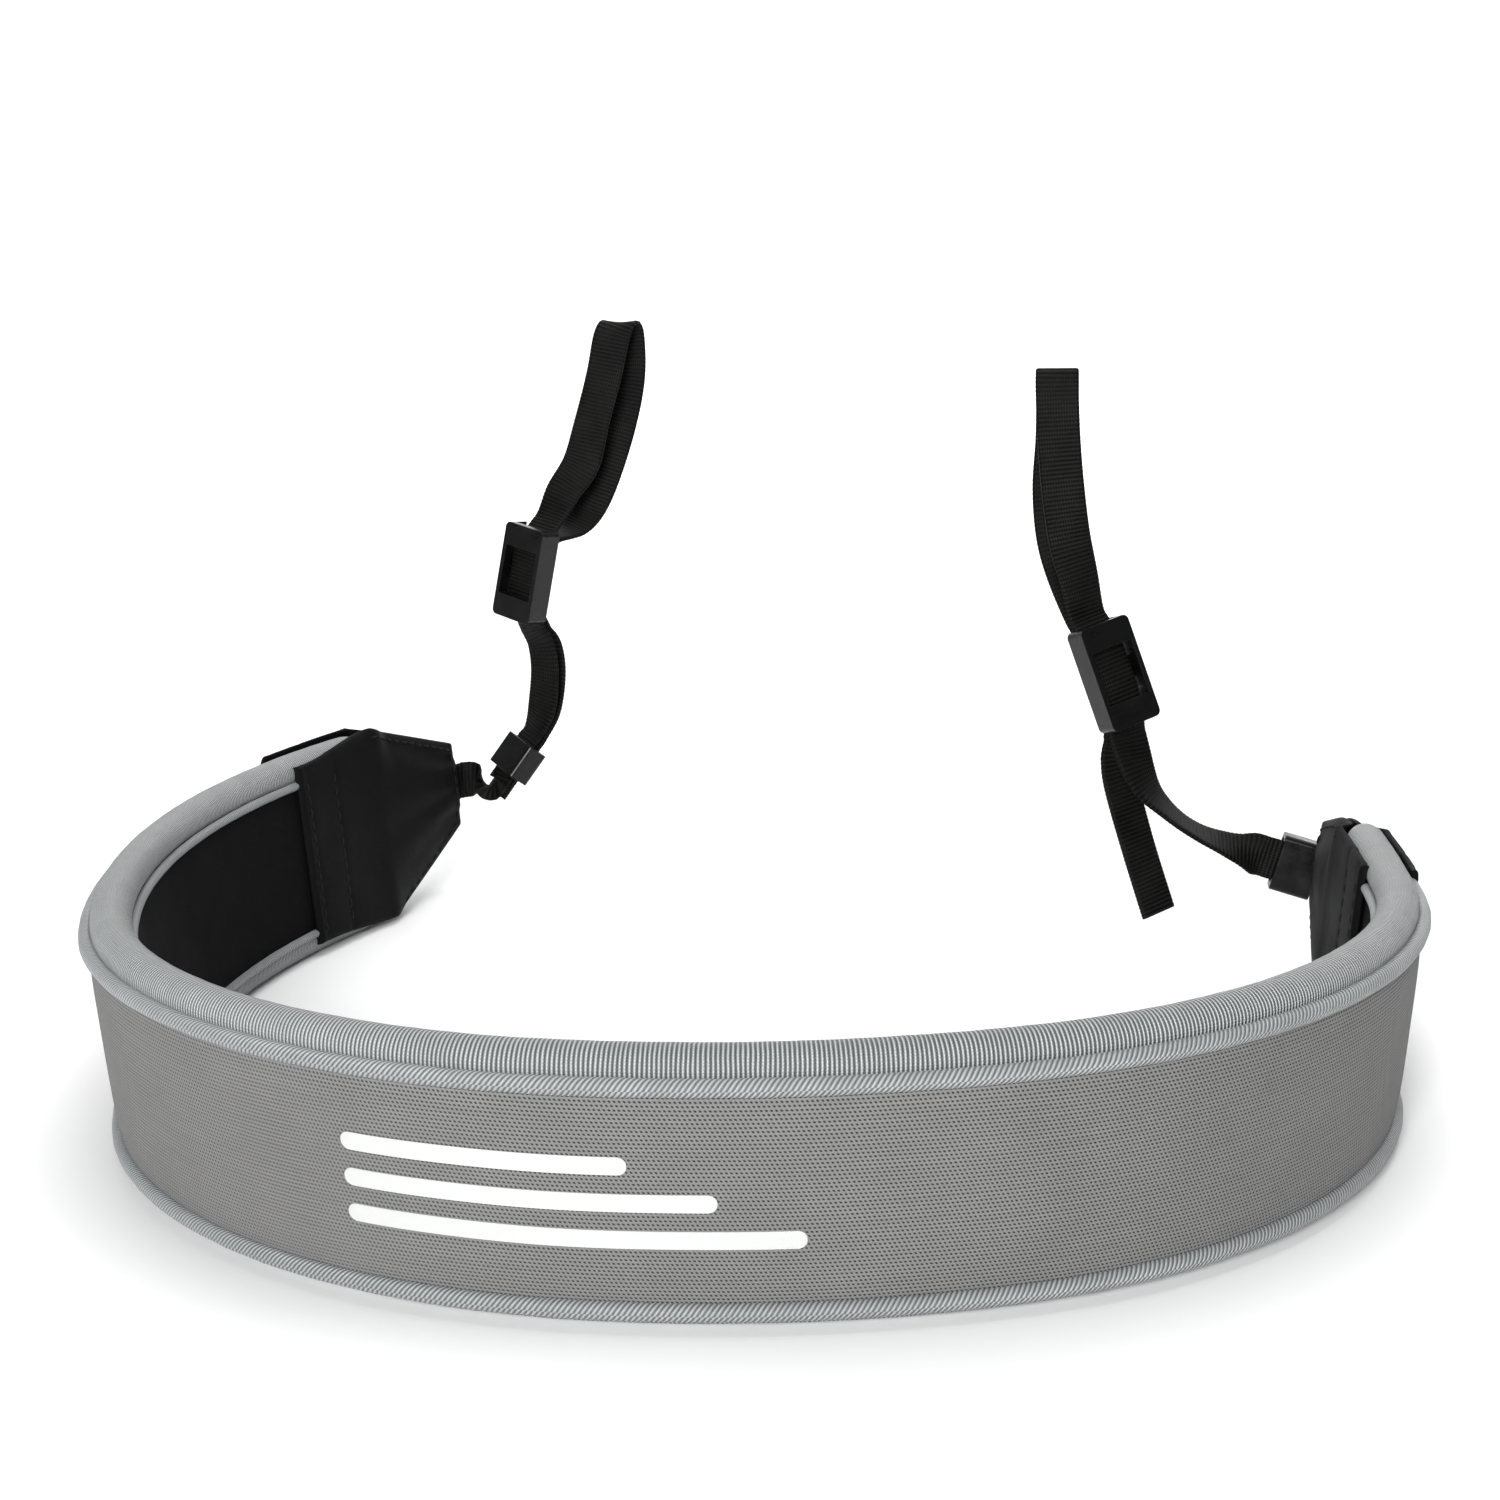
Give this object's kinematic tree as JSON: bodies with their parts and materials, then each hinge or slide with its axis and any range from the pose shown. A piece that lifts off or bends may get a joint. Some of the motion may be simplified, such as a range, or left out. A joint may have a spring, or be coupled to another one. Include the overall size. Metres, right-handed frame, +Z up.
{
  "type": "binocular neck strap",
  "caption": "Padded contoured neck strap bent into a horseshoe, with webbing ends, keepers, sliders and lug loops for binoculars.",
  "frame": {"origin": "on the floor under the band's centre line, at the point where the band runs along X near its middle", "axes": "+Z up from the floor the strap stands on; +Y from the front of the band towards its two ends; +X towards the end on the right when seen from the front"},
  "size_m": [0.2782, 0.2994, 0.1513],
  "materials": {
    "foam": "closed-cell foam core",
    "knit": "grey knit with fine horizontal rows",
    "grip": "near-black soft grip fabric",
    "binding": "silver-grey cross-ribbed elastic binding",
    "piping": "silver-grey slant-ribbed piping",
    "print": "white screen print",
    "patch": "black suede-like patch",
    "thread": "black stitching thread",
    "webbing": "black cross-ribbed webbing",
    "hardware": "satin black moulded plastic"
  },
  "bodies": {
    "band": {"band_foam": "foam", "outer_knit_face": "knit", "inner_grip_face": "grip", "top_roll_foam": "foam", "top_roll_binding": "binding", "bottom_roll_foam": "foam", "bottom_roll_binding": "binding", "top_outer_piping": "piping", "top_inner_piping": "piping", "bottom_outer_piping": "piping", "bottom_inner_piping": "piping", "front_print": "print", "left_tab_outer_patch": "patch", "left_tab_inner_patch": "patch", "left_tab_stitching": "thread", "left_tab_webbing": "webbing", "right_tab_outer_patch": "patch", "right_tab_inner_patch": "patch", "right_tab_stitching": "thread", "right_tab_webbing": "webbing"},
    "left_strap": {"left_webbing": "webbing"},
    "left_keeper": {"left_keeper": "hardware"},
    "left_slider": {"left_slider": "hardware"},
    "right_strap": {"right_webbing": "webbing"},
    "right_keeper": {"right_keeper": "hardware"},
    "right_slider": {"right_slider": "hardware"},
    "right_tail": {"right_webbing_tail": "webbing"}
  },
  "joints": [
    {"name": "left_strap_swing", "type": "hinge", "parent": "band", "child": "left_strap", "pos_m": [-0.09799, 0.26836, 0.02888], "axis": [0, 0, 1], "range_deg": [-20, 20]},
    {"name": "left_keeper_slide", "type": "slide", "parent": "left_strap", "child": "left_keeper", "axis": [0.5447, 0.2775, 0.7914], "range_m": [-0.001, 0.001]},
    {"name": "left_slider_slide", "type": "slide", "parent": "left_strap", "child": "left_slider", "axis": [0.2, 0, 0.9798], "range_m": [-0.002, 0.002]},
    {"name": "right_strap_swing", "type": "hinge", "parent": "band", "child": "right_strap", "pos_m": [0.12842, 0.20599, 0.02888], "axis": [0, 0, 1], "range_deg": [-15, 20]},
    {"name": "right_keeper_slide", "type": "slide", "parent": "right_strap", "child": "right_keeper", "axis": [-0.9592, -0.04, 0.2798], "range_m": [0, 0.001]},
    {"name": "right_slider_slide", "type": "slide", "parent": "right_strap", "child": "right_slider", "axis": [-0.3395, 0.0599, 0.9387], "range_m": [-0.001, 0.002]},
    {"name": "right_tail_swing", "type": "hinge", "parent": "right_strap", "child": "right_tail", "pos_m": [0.08098, 0.21089, 0.06695], "axis": [0.7756, 0.5885, 0.2282], "range_deg": [0, 15]}
  ]
}
